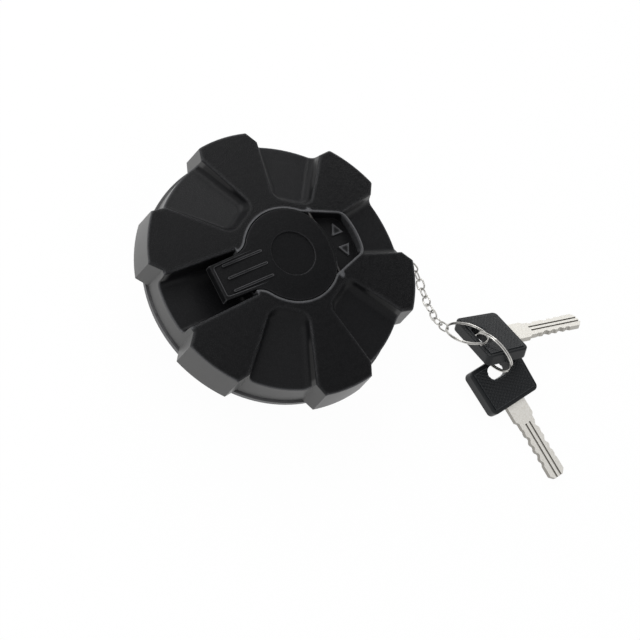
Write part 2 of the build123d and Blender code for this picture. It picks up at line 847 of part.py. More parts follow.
def countersunk_screw(length):
    """Countersunk screw standing on its head at the origin."""
    with BuildPart() as screw:
        Cone(screw_head_radius, screw_shank_radius, screw_head_height, align=bottom_up)
        Cylinder(screw_shank_radius, length, align=bottom_up)
        with BuildSketch():
            Rectangle(2.6, 0.7)
            Rectangle(0.7, 2.6)
        extrude(amount=0.9, mode=Mode.SUBTRACT)
    return screw.part


with BuildPart() as base_screws:
    shank = shell_bottom - 0.1 + screw_length - 1 - ring_bottom
    with Locations((0, 0, ring_bottom)):
        with PolarLocations(ring_screw_circle, lobe_count):
            add(countersunk_screw(shank))
base_screws.part.label = "base_screws"
export_step(base_screws.part, "parts/base_screws.step")

# ---------------------------------------------------------------- bayonet bridge, spring and plug cap
with BuildPart() as bayonet_bridge:
    with BuildSketch(Plane.XY.offset(bridge_top - bridge_thickness)):
        Rectangle(2 * ear_reach, bridge_width)
        Circle(ear_reach, mode=Mode.INTERSECT)
        fillet([point for point in vertices() if abs(point.Y) > bridge_width / 2 - 1], 3.0)
        with GridLocations(2 * bridge_slot_centre, 0, 2, 1):
            SlotOverall(bridge_slot_length, bridge_slot_width, mode=Mode.SUBTRACT)
    extrude(amount=bridge_thickness)
    fillet(bayonet_bridge.edges().group_by(Axis.Z)[-1], 0.5)
bayonet_bridge.part.label = "bayonet_bridge"
export_step(bayonet_bridge.part, "parts/bayonet_bridge.step")


def coil_spring(radius, wire, turns, bottom, top, centre):
    """Compression spring whose wire ends lie flat between two levels."""
    pitch = (top - bottom - 2 * wire) / turns
    with BuildPart() as spring:
        with BuildLine():
            Helix(pitch, pitch * turns, radius, center=(centre[0], centre[1], bottom + wire))
        start = spring.edges()[0] if spring.edges() else spring.pending_edges[0]
        with BuildSketch(Plane(origin=start @ 0, z_dir=start % 0)):
            Circle(wire)
        sweep()
    return spring.part


with BuildPart() as pressure_spring:
    add(
        coil_spring(
            spring_radius,
            spring_wire,
            spring_turns,
            plug_bottom,
            bridge_top - bridge_thickness,
            (0, 0),
        )
    )
pressure_spring.part.label = "pressure_spring"
export_step(pressure_spring.part, "parts/pressure_spring.step")

with BuildPart() as plug_cap:
    with Locations((0, 0, -plug_depth)):
        Cylinder(plug_radius, plug_cap_thickness, align=bottom_up)
    chamfer(plug_cap.edges().group_by(Axis.Z)[0], plug_cap_chamfer)
    with Locations((0, 0, plug_bottom)):
        Cylinder(spring_radius - spring_wire - 1.2, spigot_height, align=bottom_up)
    with BuildSketch(Plane.XY.offset(-plug_depth)):
        for angle in cap_screw_angles:
            with Locations(polar(cap_screw_circle, angle)):
                Circle(screw_shank_radius)
        Circle(drain_radius)
    extrude(amount=plug_depth, mode=Mode.SUBTRACT)
    for angle in cap_screw_angles:
        with Locations((*polar(cap_screw_circle, angle), -plug_depth + screw_head_height / 2)):
            Cone(screw_head_radius, screw_shank_radius, screw_head_height, mode=Mode.SUBTRACT)
plug_cap.part.label = "plug_cap"
export_step(plug_cap.part, "parts/plug_cap.step")

with BuildPart() as cap_screws:
    for angle in cap_screw_angles:
        with Locations((*polar(cap_screw_circle, angle), -plug_depth)):
            add(countersunk_screw(plug_cap_thickness + screw_length - 1))
cap_screws.part.label = "cap_screws"
export_step(cap_screws.part, "parts/cap_screws.step")

# ---------------------------------------------------------------- vent valve
poppet_bottom = gasket_thickness - vent_poppet_thickness
cage_top = vent_tube_bottom + vent_cage_thickness
with BuildPart() as vent_poppet:
    with Locations((0, vent_y, poppet_bottom)):
        Cylinder(vent_poppet_radius, vent_poppet_thickness, align=bottom_up)
    chamfer(vent_poppet.edges().group_by(Axis.Z)[-1], 0.5)
    with Locations((0, vent_y, poppet_bottom - vent_stem_length)):
        Cylinder(vent_stem_radius, vent_stem_length, align=bottom_up)
vent_poppet.part.label = "vent_poppet"
export_step(vent_poppet.part, "parts/vent_poppet.step")

with BuildPart() as vent_spring:
    add(
        coil_spring(
            vent_spring_radius,
            vent_spring_wire,
            vent_spring_turns,
            cage_top,
            poppet_bottom,
            (0, vent_y),
        )
    )
vent_spring.part.label = "vent_spring"
export_step(vent_spring.part, "parts/vent_spring.step")

with BuildPart() as vent_cage:
    with BuildSketch(Plane.XY.offset(vent_tube_bottom)):
        with Locations((0, vent_y)):
            Circle(vent_bore_radius)
            Circle(vent_stem_radius + 0.3, mode=Mode.SUBTRACT)
            with PolarLocations(vent_spring_radius, 4, start_angle=45):
                Circle(vent_cage_hole, mode=Mode.SUBTRACT)
    extrude(amount=vent_cage_thickness)
vent_cage.part.label = "vent_cage"
export_step(vent_cage.part, "parts/vent_cage.step")

# ---------------------------------------------------------------- key chain
with BuildPart() as chain_link:
    span = link_length - link_width
    bend = link_width / 2 - link_wire
    with BuildLine() as course:
        Line((-span / 2, bend), (span / 2, bend))
        ThreePointArc((span / 2, bend), (span / 2 + bend, 0), (span / 2, -bend))
        Line((span / 2, -bend), (-span / 2, -bend))
        ThreePointArc((-span / 2, -bend), (-span / 2 - bend, 0), (-span / 2, bend))
    with BuildSketch(Plane(origin=course.line @ 0, z_dir=(1, 0, 0))):
        Circle(link_wire)
    sweep(path=course.line)

with BuildPart() as chain_links:
    eye_tangent = polar(1, eye_angle + 90)
    normal = Vector(eye_tangent[0], eye_tangent[1], 0)
    for near, far in zip(chain_joints[:-1], chain_joints[1:]):
        start = Vector(*near)
        end = Vector(*far)
        axis = (end - start).normalized()
        normal = (normal - axis * normal.dot(axis)).normalized()
        middle = (start + end) * 0.5
        with Locations(Location(Plane(origin=middle, x_dir=axis, z_dir=normal))):
            add(chain_link.part)
        normal = normal.rotate(Axis((0, 0, 0), axis), link_twist)
chain_links.part.label = "chain_links"
export_step(chain_links.part, "parts/chain_links.step")


def split_ring(radius, wire):
    """Split ring of two touching turns about the Z axis, centred on the origin."""
    pitch = 2 * wire + 0.04
    with BuildPart() as ring:
        with BuildLine() as course:
            Helix(pitch, 2 * pitch, radius, center=(0, 0, -pitch))
        with BuildSketch(Plane(origin=course.line @ 0, z_dir=course.line % 0)):
            Circle(wire)
        sweep(path=course.line)
    return ring.part


def ring_place(centre, axis):
    """Location of a ring from its centre and the azimuth and tilt of its axis."""
    flat = cos(radians(axis[1]))
    direction = (
        flat * cos(radians(axis[0])),
        flat * sin(radians(axis[0])),
        sin(radians(axis[1])),
    )
    return Location(Plane(origin=centre, z_dir=direction))


with BuildPart() as chain_ring:
    with Locations(ring_place(chain_ring_centre, chain_ring_axis)):
        add(split_ring(chain_ring_radius, chain_ring_wire))
chain_ring.part.label = "chain_ring"
export_step(chain_ring.part, "parts/chain_ring.step")

with BuildPart() as key_ring:
    with Locations(ring_place(key_ring_centre, key_ring_axis)):
        add(split_ring(key_ring_radius, key_ring_wire))
key_ring.part.label = "key_ring"
export_step(key_ring.part, "parts/key_ring.step")

# ---------------------------------------------------------------- keys, drawn with the hole at the origin
with BuildPart() as key_head:
    with BuildSketch(Plane.XY.offset(-head_thickness / 2 + head_field_rise)):
        Polygon(
            (-head_back, -head_back_half_width),
            (head_front, -head_front_half_width),
            (head_front, head_front_half_width),
            (-head_back, head_back_half_width),
            align=None,
        )
        fillet(vertices(), head_corner)
    extrude(amount=head_thickness - 2 * head_field_rise)
    rims = key_head.edges().group_by(Axis.Z)
    fillet(rims[0] + rims[-1], head_edge)
    with BuildSketch(Plane.XY.offset(-head_thickness / 2)):
        Polygon(
            (-head_back + head_field_inset, -head_back_half_width + head_field_inset),
            (head_front - head_field_inset, -head_front_half_width + head_field_inset),
            (head_front - head_field_inset, head_front_half_width - head_field_inset),
            (-head_back + head_field_inset, head_back_half_width - head_field_inset),
            align=None,
        )
        fillet(vertices(), 1.2)
    extrude(amount=head_thickness)
    with BuildSketch(Plane.XY.offset(-head_thickness)):
        SlotOverall(head_hole_length, head_hole_width, rotation=90)
    extrude(amount=2 * head_thickness, mode=Mode.SUBTRACT)
    with Locations((blade_start, 0, 0)):
        Box(
            head_front,
            2 * blade_neck_half_width,
            blade_thickness,
            align=(Align.MIN, Align.CENTER, Align.CENTER),
            mode=Mode.SUBTRACT,
        )


def cut_edge(depths, side):
    """Points of one toothed edge of the blade, from its shoulder to its tip."""
    points = [(blade_shoulder - 1.2, side * blade_neck_half_width), (blade_shoulder, side * blade_half_width)]
    for step, depth in enumerate(depths):
        middle = cut_start + cut_pitch * step
        level = side * (blade_half_width - depth)
        points.append((middle - cut_flat - depth, side * blade_half_width))
        points.append((middle - cut_flat / 2, level))
        points.append((middle + cut_flat / 2, level))
        points.append((middle + cut_flat + depth, side * blade_half_width))
    points.append((blade_tip - 1.8, side * blade_half_width))
    points.append((blade_tip, side * blade_tip_half_width))
    return points


with BuildPart() as key_blade:
    with BuildSketch():
        left = cut_edge(cut_depths_left, 1)
        right = cut_edge(cut_depths_right, -1)
        root = [(blade_start, -blade_neck_half_width), (blade_start, blade_neck_half_width)]
        Polygon(*(root + left + right[::-1]), align=None)
    extrude(amount=blade_thickness / 2, both=True)
    for level, side in ((blade_thickness / 2, 1), (-blade_thickness / 2, -1)):
        for offset in (-blade_groove_offset, blade_groove_offset):
            with Locations((blade_groove_start, offset, level)):
                Box(
                    blade_tip,
                    blade_groove_width,
                    2 * blade_groove_depth,
                    align=(Align.MIN, Align.CENTER, Align.CENTER),
                    mode=Mode.SUBTRACT,
                )


def key_place(place):
    """Location of a key from its hole centre, azimuth, pitch and roll."""
    centre, azimuth, pitch, roll = place
    turned = Location(centre) * Location((0, 0, 0), (0, 0, azimuth))
    return turned * Location((0, 0, 0), (0, -pitch, 0)) * Location((0, 0, 0), (roll, 0, 0))


with BuildPart() as key_1_head:
    with Locations(key_place(key_1_place)):
        add(key_head.part)
key_1_head.part.label = "key_1_head"
export_step(key_1_head.part, "parts/key_1_head.step")

with BuildPart() as key_1_blade:
    with Locations(key_place(key_1_place)):
        add(key_blade.part)
key_1_blade.part.label = "key_1_blade"
export_step(key_1_blade.part, "parts/key_1_blade.step")

with BuildPart() as key_2_head:
    with Locations(key_place(key_2_place)):
        add(key_head.part)
key_2_head.part.label = "key_2_head"
export_step(key_2_head.part, "parts/key_2_head.step")

with BuildPart() as key_2_blade:
    with Locations(key_place(key_2_place)):
        add(key_blade.part)
key_2_blade.part.label = "key_2_blade"
export_step(key_2_blade.part, "parts/key_2_blade.step")
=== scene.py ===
from math import radians

import bmesh
import bpy
from mathutils import Matrix, Vector


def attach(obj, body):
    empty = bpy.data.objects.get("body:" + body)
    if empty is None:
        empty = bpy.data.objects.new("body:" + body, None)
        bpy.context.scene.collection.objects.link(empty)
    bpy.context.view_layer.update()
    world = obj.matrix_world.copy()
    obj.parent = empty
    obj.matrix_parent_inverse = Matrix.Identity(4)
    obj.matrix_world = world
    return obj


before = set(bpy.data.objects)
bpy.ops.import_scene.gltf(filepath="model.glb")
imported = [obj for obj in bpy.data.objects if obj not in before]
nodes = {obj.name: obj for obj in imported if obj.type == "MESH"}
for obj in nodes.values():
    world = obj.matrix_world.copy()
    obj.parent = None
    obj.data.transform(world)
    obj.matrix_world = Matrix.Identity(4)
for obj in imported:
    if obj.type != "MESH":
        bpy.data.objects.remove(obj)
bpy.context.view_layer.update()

# The view: a long lens looks down on the cap from over its tab, and is rolled
# until the chain and the keys trail off to the lower right.
lens = 86.74
eye = Vector((0.127315, -0.297942, 0.539235))
image_right = Vector((0.45364687, 0.80740055, 0.37723848))
image_down = Vector((0.87591963, -0.32595614, -0.35569285))
image_forward = Vector((-0.1642234, 0.49178954, -0.85508697))

view_data = bpy.data.cameras.new("view")
view_data.sensor_width = 36.0
view_data.lens = lens
view = bpy.data.objects.new("view", view_data)
turn = Matrix((image_right, -image_down, -image_forward)).transposed().to_4x4()
view.matrix_world = Matrix.Translation(eye) @ turn
bpy.context.scene.collection.objects.link(view)
bpy.context.scene.camera = view
bpy.context.scene.view_settings.view_transform = "Standard"


# The floor: a wide round of matt white board that the plug stands on. Its
# finish is the first one, so the wrapper for shader sockets is here.
floor_level = -0.024
floor_radius = 3.0
board_white = (0.88, 0.88, 0.88, 1.0)
board_bright = (0.9, 0.9, 0.9, 1.0)
board_glow = 0.97


class Wire:
    """An output socket of a node tree that takes part in plain arithmetic."""

    def __init__(self, tree, socket=None):
        self.tree = tree
        self.socket = socket

    def node(self, kind, settings=(), inputs=(), output=0):
        """Adds a node, sets it, feeds its sockets, and gives one of its outputs."""
        made = self.tree.nodes.new(kind)
        for name, value in dict(settings).items():
            if name == "stops":
                points = made.color_ramp.elements
                while len(points) < len(value):
                    points.new(1.0)
                for point, (place, colour) in zip(points, value):
                    point.position = place
                    point.color = colour
            else:
                setattr(made, name, value)
        for name, value in dict(inputs).items():
            if isinstance(value, Wire):
                self.tree.links.new(value.socket, made.inputs[name])
            else:
                made.inputs[name].default_value = value
        return Wire(self.tree, made.outputs[output]) if made.outputs else None

    def maths(self, operation, *terms):
        """A maths node with this wire first and the terms after it."""
        return self.node("ShaderNodeMath", {"operation": operation}, enumerate((self, *terms)))

    def __add__(self, other):
        return self.maths("ADD", other)

    def __sub__(self, other):
        return self.maths("SUBTRACT", other)

    def __rsub__(self, other):
        return self.node("ShaderNodeMath", {"operation": "SUBTRACT"}, {0: other, 1: self})

    def __mul__(self, other):
        return self.maths("MULTIPLY", other)

    __radd__ = __add__
    __rmul__ = __mul__

    def between(self, low, high):
        """0 below low, 1 above high, and smooth between them."""
        limits = {"Value": self, "From Min": low, "From Max": high}
        return self.node("ShaderNodeMapRange", {"interpolation_type": "SMOOTHSTEP"}, limits)

    def blend(self, first, second):
        """The colour that goes from first to second as this goes from 0 to 1."""
        ends = {0: self, 6: first, 7: second}
        return self.node("ShaderNodeMix", {"data_type": "RGBA"}, ends, 2)


def new_finish(name):
    """A material, the wire that starts its nodes, and its object coordinates in mm."""
    finish = bpy.data.materials.new(name)
    finish.use_nodes = True
    finish.node_tree.nodes.clear()
    start = Wire(finish.node_tree)
    place = start.node("ShaderNodeTexCoord", output="Object")
    scaled = {0: place, "Scale": 1000.0}
    return finish, start, start.node("ShaderNodeVectorMath", {"operation": "SCALE"}, scaled)


board, start, grid = new_finish("white_board")
camera_ray = start.node("ShaderNodeLightPath", output="Is Camera Ray")
glossy_ray = start.node("ShaderNodeLightPath", output="Is Glossy Ray")
clear_ray = start.node("ShaderNodeLightPath", output="Is Transmission Ray")
tooth = start.node("ShaderNodeTexNoise", (), {"Vector": grid, "Scale": 0.4, "Detail": 2.0})
matt = start.node(
    "ShaderNodeBsdfPrincipled",
    (),
    {"Base Color": tooth.blend(board_white, board_bright), "Roughness": 0.9},
)
glow = start.node("ShaderNodeEmission", (), {"Color": (1.0, 1.0, 1.0, 1.0), "Strength": 1.0})
seen = (camera_ray + glossy_ray + clear_ray) * board_glow
surface = start.node("ShaderNodeMixShader", (), {0: seen, 1: matt, 2: glow})
start.node("ShaderNodeOutputMaterial", (), {"Surface": surface})

disc = bmesh.new()
bmesh.ops.create_circle(disc, cap_ends=True, radius=floor_radius, segments=96)
bmesh.ops.translate(disc, verts=disc.verts, vec=(0, 0, floor_level))
floor_mesh = bpy.data.meshes.new("floor")
disc.to_mesh(floor_mesh)
disc.free()
floor_mesh.materials.append(board)
floor = bpy.data.objects.new("floor", floor_mesh)
bpy.context.scene.collection.objects.link(floor)


# The light: a tent of white cloth that is dimmer overhead and darkest high up
# behind the cap, one broad soft panel to the left of the view and a smaller
# one behind it that shines into the finger troughs. The tent is the backdrop too.
cove_white = (1.0, 1.0, 1.0, 1.0)
ceiling_pale = (0.80, 0.80, 0.81, 1.0)
back_grey = (0.22, 0.22, 0.23, 1.0)
cove_strength = 1.0
panel_place = Vector((-0.70, -0.42, 0.62))
panel_power = 6.0
panel_width = 0.9
kicker_place = Vector((-0.68, 0.42, 0.62))
kicker_power = 1.6
kicker_width = 0.35

world = bpy.data.worlds.new("studio")
world.use_nodes = True
world.node_tree.nodes.clear()
bpy.context.scene.world = world
sky = Wire(world.node_tree)
direction = sky.node("ShaderNodeTexCoord", output="Generated")
height = sky.node("ShaderNodeSeparateXYZ", (), {0: direction}, "Z")
depth = sky.node("ShaderNodeSeparateXYZ", (), {0: direction}, "Y")
ceiling = depth.between(0.35, 0.9).blend(ceiling_pale, back_grey)
shade = height.between(0.05, 0.30).blend(cove_white, ceiling)
light = sky.node("ShaderNodeBackground", (), {"Color": shade, "Strength": cove_strength})
backdrop = sky.node("ShaderNodeBackground", (), {"Color": cove_white, "Strength": 1.0})
camera_ray = sky.node("ShaderNodeLightPath", output="Is Camera Ray")
surface = sky.node("ShaderNodeMixShader", (), {0: camera_ray, 1: light, 2: backdrop})
sky.node("ShaderNodeOutputWorld", (), {"Surface": surface})

for name, place, power, width in (
    ("panel", panel_place, panel_power, panel_width),
    ("kicker", kicker_place, kicker_power, kicker_width),
):
    lamp_data = bpy.data.lights.new(name, "AREA")
    lamp_data.shape = "SQUARE"
    lamp_data.size = width
    lamp_data.energy = power
    lamp = bpy.data.objects.new(name, lamp_data)
    lamp.location = place
    lamp.rotation_euler = (-place).to_track_quat("-Z", "Y").to_euler()
    bpy.context.scene.collection.objects.link(lamp)


def dress(node, finish):
    """Gives a CAD node its finish."""
    mesh = nodes[node].data
    mesh.materials.clear()
    mesh.materials.append(finish)


# The grip shell: one moulding of black glass-filled nylon with a fine leather
# grain, rubbed a little smoother along the crests that hands meet. Its colour
# has a painted highlight along the crests, painted sheen in the troughs and
# painted light on the steep outer walls.
nylon_black = (0.0016, 0.0017, 0.0021, 1.0)
nylon_highlight_and_grain = (0.085, 0.086, 0.090, 1.0)
nylon_wall_light = (0.095, 0.095, 0.094, 1.0)
grain_size = 0.8
grain_depth = 0.00009
dome_radius = 20.0
crown_height = 25.5
crown_pitch = 0.15
crown_bend = 0.00106


def leather_grain(start, grid, size):
    """Height of a pebbled leather grain, 0 in the creases and 1 on the pebbles."""
    sway = start.node("ShaderNodeTexNoise", (), {"Vector": grid, "Scale": 0.9 / size, "Detail": 2.0}, 1)
    bent = start.node(
        "ShaderNodeVectorMath", {"operation": "MULTIPLY_ADD"}, {0: sway, 1: (0.55 * size,) * 3, 2: grid}
    )
    pebbles = start.node(
        "ShaderNodeTexVoronoi",
        {"feature": "DISTANCE_TO_EDGE"},
        {"Vector": bent, "Scale": 1.0 / size, "Randomness": 0.9},
    )
    fine = start.node("ShaderNodeTexNoise", (), {"Vector": grid, "Scale": 3.6 / size, "Detail": 3.0})
    return pebbles.between(0.0, 0.32) * 0.8 + fine * 0.35


def crest(start, width):
    """1 on a convex edge or a small rounding within this many metres, 0 where the surface is flat."""
    settings = {"samples": 8, "inside": True, "only_local": True}
    open_inside = start.node("ShaderNodeAmbientOcclusion", settings, {"Distance": width}, "AO")
    return (1.0 - open_inside).between(0.06, 0.36)


grained, start, grid = new_finish("grained_nylon")
upward = start.node("ShaderNodeTexCoord", output="Normal")
tilt = start.node("ShaderNodeSeparateXYZ", (), {0: upward}, "Z")
level = start.node("ShaderNodeSeparateXYZ", (), {0: grid}, "Z")
flat = start.node("ShaderNodeVectorMath", {"operation": "MULTIPLY"}, {0: grid, 1: (1, 1, 0)})
reach = start.node("ShaderNodeVectorMath", {"operation": "LENGTH"}, {0: flat}, "Value")
past_dome = (reach - dome_radius).maths("MAXIMUM", 0)
crown = crown_height - past_dome * crown_pitch - past_dome * past_dome * crown_bend
# Trough floors below the crown: smoother and less grained, and tinted paler as a painted sheen.
trough_polish_and_sheen = (crown - level).between(0.3, 1.3)
grain = leather_grain(start, grid, grain_size) * tilt.between(0.25, 0.6)
cloud = start.node("ShaderNodeTexNoise", (), {"Vector": grid, "Scale": 0.07, "Detail": 4.0})
# Painted highlight: the convex crests are tinted paler, in cloudy patches.
crest_highlight = crest(start, 0.0013) * cloud.between(0.1, 0.5) * 1.1
top_tint = (crest_highlight + grain * 0.05 + trough_polish_and_sheen * 0.045).blend(nylon_black, nylon_highlight_and_grain)
across = start.node("ShaderNodeSeparateXYZ", (), {0: grid}, "X")
along = start.node("ShaderNodeSeparateXYZ", (), {0: grid}, "Y")
beside_slot = across.maths("ABSOLUTE").between(13.5, 15.5).maths("MAXIMUM", along.between(-2, 2))
# Painted light: steep faces on the outer walls and beside the slot are tinted pale grey, as if lit by the
# white surroundings.
pale = reach.between(48.5, 51.0).maths("MAXIMUM", reach.between(33, 37) * beside_slot * 0.35)
tint = (pale * (1.0 - tilt.between(0.15, 0.5))).blend(top_tint, nylon_wall_light)
rounded = start.node("ShaderNodeBevel", {"samples": 6}, {"Radius": 0.0004})
relief = grain * (1.0 - trough_polish_and_sheen * 0.7)
bump = start.node(
    "ShaderNodeBump", (), {"Strength": 1.0, "Distance": grain_depth, "Height": relief, "Normal": rounded}
)
surface = start.node(
    "ShaderNodeBsdfPrincipled",
    (),
    {
        "Base Color": tint,
        "Roughness": 0.40 - crest_highlight * 0.10 - trough_polish_and_sheen * 0.10 + cloud * 0.08,
        "Normal": bump,
        "IOR": 1.22,
    },
)
start.node("ShaderNodeOutputMaterial", (), {"Surface": surface})
dress("grip_shell", grained)


# The key cover: a hinged lid of the same nylon with a ribbed pull tab and a
# round dish, finer grained than the shell because its mould was polished.
cover_grain = 0.7

fine_grained, start, grid = new_finish("fine_grained_nylon")
grain = leather_grain(start, grid, cover_grain)
cloud = start.node("ShaderNodeTexNoise", (), {"Vector": grid, "Scale": 0.09, "Detail": 4.0})
# Painted highlight: the convex edges of the lid and its dish are tinted paler.
crest_highlight = crest(start, 0.0005) * cloud.between(0.1, 0.5) * 0.7
rounded = start.node("ShaderNodeBevel", {"samples": 6}, {"Radius": 0.0004})
bump = start.node(
    "ShaderNodeBump", (), {"Strength": 1.0, "Distance": 0.00004, "Height": grain, "Normal": rounded}
)
surface = start.node(
    "ShaderNodeBsdfPrincipled",
    (),
    {
        "Base Color": (crest_highlight + grain * 0.05).blend(nylon_black, nylon_highlight_and_grain),
        "Roughness": 0.46 - crest_highlight * 0.08 + cloud * 0.08,
        "Normal": bump,
        "IOR": 1.2,
    },
)
start.node("ShaderNodeOutputMaterial", (), {"Surface": surface})
dress("key_cover", fine_grained)


# The steel pieces: screws, locking cam and bolt and the bayonet bridge are bright
# zinc plated, with a faint cloudy bloom. The hinge pin is blackened in oil.
zinc_bright = (0.66, 0.67, 0.68, 1.0)
zinc_bloom = (0.50, 0.52, 0.50, 1.0)

zinc, start, grid = new_finish("zinc_plate")
bloom = start.node("ShaderNodeTexNoise", (), {"Vector": grid, "Scale": 0.35, "Detail": 5.0})
pits = start.node("ShaderNodeTexNoise", (), {"Vector": grid, "Scale": 6.0, "Detail": 3.0})
bump = start.node("ShaderNodeBump", (), {"Strength": 0.6, "Distance": 0.00002, "Height": pits})
surface = start.node(
    "ShaderNodeBsdfPrincipled",
    (),
    {
        "Base Color": bloom.between(0.35, 0.7).blend(zinc_bright, zinc_bloom),
        "Metallic": 1.0,
        "Roughness": bloom * 0.22 + 0.22,
        "Normal": bump,
    },
)
start.node("ShaderNodeOutputMaterial", (), {"Surface": surface})
for node in ("base_screws", "cap_screws", "lock_cam", "cam_screw", "locking_bolt", "bayonet_bridge"):
    dress(node, zinc)

oxide_black = (0.012, 0.012, 0.013, 1.0)
oxide_brown = (0.030, 0.024, 0.020, 1.0)

blackened, start, grid = new_finish("black_oxide")
oil = start.node("ShaderNodeTexNoise", (), {"Vector": grid, "Scale": 0.9, "Detail": 4.0})
surface = start.node(
    "ShaderNodeBsdfPrincipled",
    (),
    {
        "Base Color": oil.between(0.4, 0.75).blend(oxide_black, oxide_brown),
        "Roughness": oil * 0.2 + 0.35,
    },
)
start.node("ShaderNodeOutputMaterial", (), {"Surface": surface})
dress("cover_pin", blackened)


# The lock: a turned brass barrel and cylinder, nickel plated and circle
# brushed on the face, with bare brass wafers in the cylinder.
nickel_warm = (0.70, 0.68, 0.62, 1.0)
nickel_bright = (0.78, 0.76, 0.72, 1.0)
brass_bare = (0.72, 0.52, 0.22, 1.0)
brass_dull = (0.45, 0.30, 0.12, 1.0)

turned, start, grid = new_finish("turned_nickel")
split = start.node("ShaderNodeSeparateXYZ", (), {0: grid}, "X")
split_y = start.node("ShaderNodeSeparateXYZ", (), {0: grid}, "Y")
radius = (split * split + split_y * split_y).maths("SQRT")
along_radius = {"W": radius, "Scale": 9.0, "Detail": 2.0}
rings = start.node("ShaderNodeTexNoise", {"noise_dimensions": "1D"}, along_radius)
bump = start.node("ShaderNodeBump", (), {"Strength": 0.5, "Distance": 0.00003, "Height": rings})
surface = start.node(
    "ShaderNodeBsdfPrincipled",
    (),
    {
        "Base Color": rings.blend(nickel_warm, nickel_bright),
        "Metallic": 1.0,
        "Roughness": rings * 0.2 + 0.2,
        "Normal": bump,
    },
)
start.node("ShaderNodeOutputMaterial", (), {"Surface": surface})
dress("lock_barrel", turned)
dress("lock_cylinder", turned)

bare_brass, start, grid = new_finish("bare_brass")
tarnish = start.node("ShaderNodeTexNoise", (), {"Vector": grid, "Scale": 0.9, "Detail": 4.0})
surface = start.node(
    "ShaderNodeBsdfPrincipled",
    (),
    {
        "Base Color": tarnish.between(0.4, 0.7).blend(brass_bare, brass_dull),
        "Metallic": 1.0,
        "Roughness": tarnish * 0.3 + 0.2,
    },
)
start.node("ShaderNodeOutputMaterial", (), {"Surface": surface})
dress("lock_wafers", bare_brass)


# The base ring and the plug: smooth mouldings of the same black nylon without
# grain, and the soft black rubber of the gasket and the vent poppet.
moulded_black = (0.055, 0.055, 0.057, 1.0)
moulded_grey = (0.080, 0.080, 0.082, 1.0)
rubber_black = (0.016, 0.016, 0.016, 1.0)
rubber_dust = (0.045, 0.044, 0.042, 1.0)

moulded, start, grid = new_finish("moulded_nylon")
flow = start.node("ShaderNodeTexNoise", (), {"Vector": grid, "Scale": 0.12, "Detail": 3.0, "Distortion": 1.5})
spark = start.node("ShaderNodeTexNoise", (), {"Vector": grid, "Scale": 3.0, "Detail": 2.0})
bump = start.node("ShaderNodeBump", (), {"Strength": 1.0, "Distance": 0.00002, "Height": spark})
surface = start.node(
    "ShaderNodeBsdfPrincipled",
    (),
    {
        "Base Color": flow.between(0.3, 0.7).blend(moulded_black, moulded_grey),
        "Roughness": flow * 0.14 + 0.36,
        "Normal": bump,
    },
)
start.node("ShaderNodeOutputMaterial", (), {"Surface": surface})
for node in ("base_ring", "plug_body", "plug_cap", "vent_cage"):
    dress(node, moulded)

rubber, start, grid = new_finish("black_rubber")
dust = start.node("ShaderNodeTexNoise", (), {"Vector": grid, "Scale": 0.25, "Detail": 6.0})
skin = start.node("ShaderNodeTexNoise", (), {"Vector": grid, "Scale": 5.0, "Detail": 2.0})
bump = start.node("ShaderNodeBump", (), {"Strength": 0.8, "Distance": 0.00002, "Height": skin})
surface = start.node(
    "ShaderNodeBsdfPrincipled",
    (),
    {
        "Base Color": dust.between(0.45, 0.8).blend(rubber_black, rubber_dust),
        "Roughness": 0.74 - skin * 0.1,
        "Normal": bump,
    },
)
start.node("ShaderNodeOutputMaterial", (), {"Surface": surface})
dress("gasket", rubber)
dress("vent_poppet", rubber)


# The springs: drawn spring steel wire, lightly oiled, with fine die marks.
wire_grey = (0.42, 0.42, 0.43, 1.0)
wire_dark = (0.24, 0.24, 0.25, 1.0)

drawn, start, grid = new_finish("drawn_wire")
oil = start.node("ShaderNodeTexNoise", (), {"Vector": grid, "Scale": 0.8, "Detail": 4.0})
surface = start.node(
    "ShaderNodeBsdfPrincipled",
    (),
    {
        "Base Color": oil.between(0.35, 0.7).blend(wire_grey, wire_dark),
        "Metallic": 1.0,
        "Roughness": oil * 0.25 + 0.2,
    },
)
start.node("ShaderNodeOutputMaterial", (), {"Surface": surface})
dress("pressure_spring", drawn)
dress("vent_spring", drawn)


# The chain and its two split rings: bright nickel-plated steel wire, a little
# darker and rougher in random worn patches, and rougher with painted shade where
# the links meet and in the joints.
plate_bright = (0.60, 0.59, 0.56, 1.0)
plate_shade_and_wear = (0.09, 0.087, 0.082, 1.0)

plate, start, grid = new_finish("bright_nickel")
worn = start.node("ShaderNodeTexNoise", (), {"Vector": grid, "Scale": 0.9, "Detail": 4.0})
# Painted shade: the links turn dark where ambient occlusion is low, where they meet and in the joints; random
# worn patches add a little.
nook = start.node("ShaderNodeAmbientOcclusion", {"samples": 6}, {"Distance": 0.0012}, "AO")
shade_and_wear = (1.0 - nook).between(0.1, 0.7) * 0.8 + worn.between(0.45, 0.7) * 0.3
dents = start.node("ShaderNodeBump", (), {"Strength": 0.5, "Distance": 0.00004, "Height": worn})
surface = start.node(
    "ShaderNodeBsdfPrincipled",
    (),
    {
        "Base Color": shade_and_wear.blend(plate_bright, plate_shade_and_wear),
        "Metallic": 1.0,
        "Roughness": shade_and_wear * 0.3 + 0.12,
        "Normal": dents,
    },
)
start.node("ShaderNodeOutputMaterial", (), {"Surface": surface})
for node in ("chain_links", "chain_ring", "key_ring"):
    dress(node, plate)


# The key blades: stamped nickel silver with a satin barrel-polished face. The
# milled grooves and the steep sheared edge faces are darkened as painted shade.
blade_pale = (0.93, 0.91, 0.85, 1.0)
blade_deep = (0.82, 0.79, 0.72, 1.0)
blade_shade = (0.20, 0.19, 0.17, 1.0)

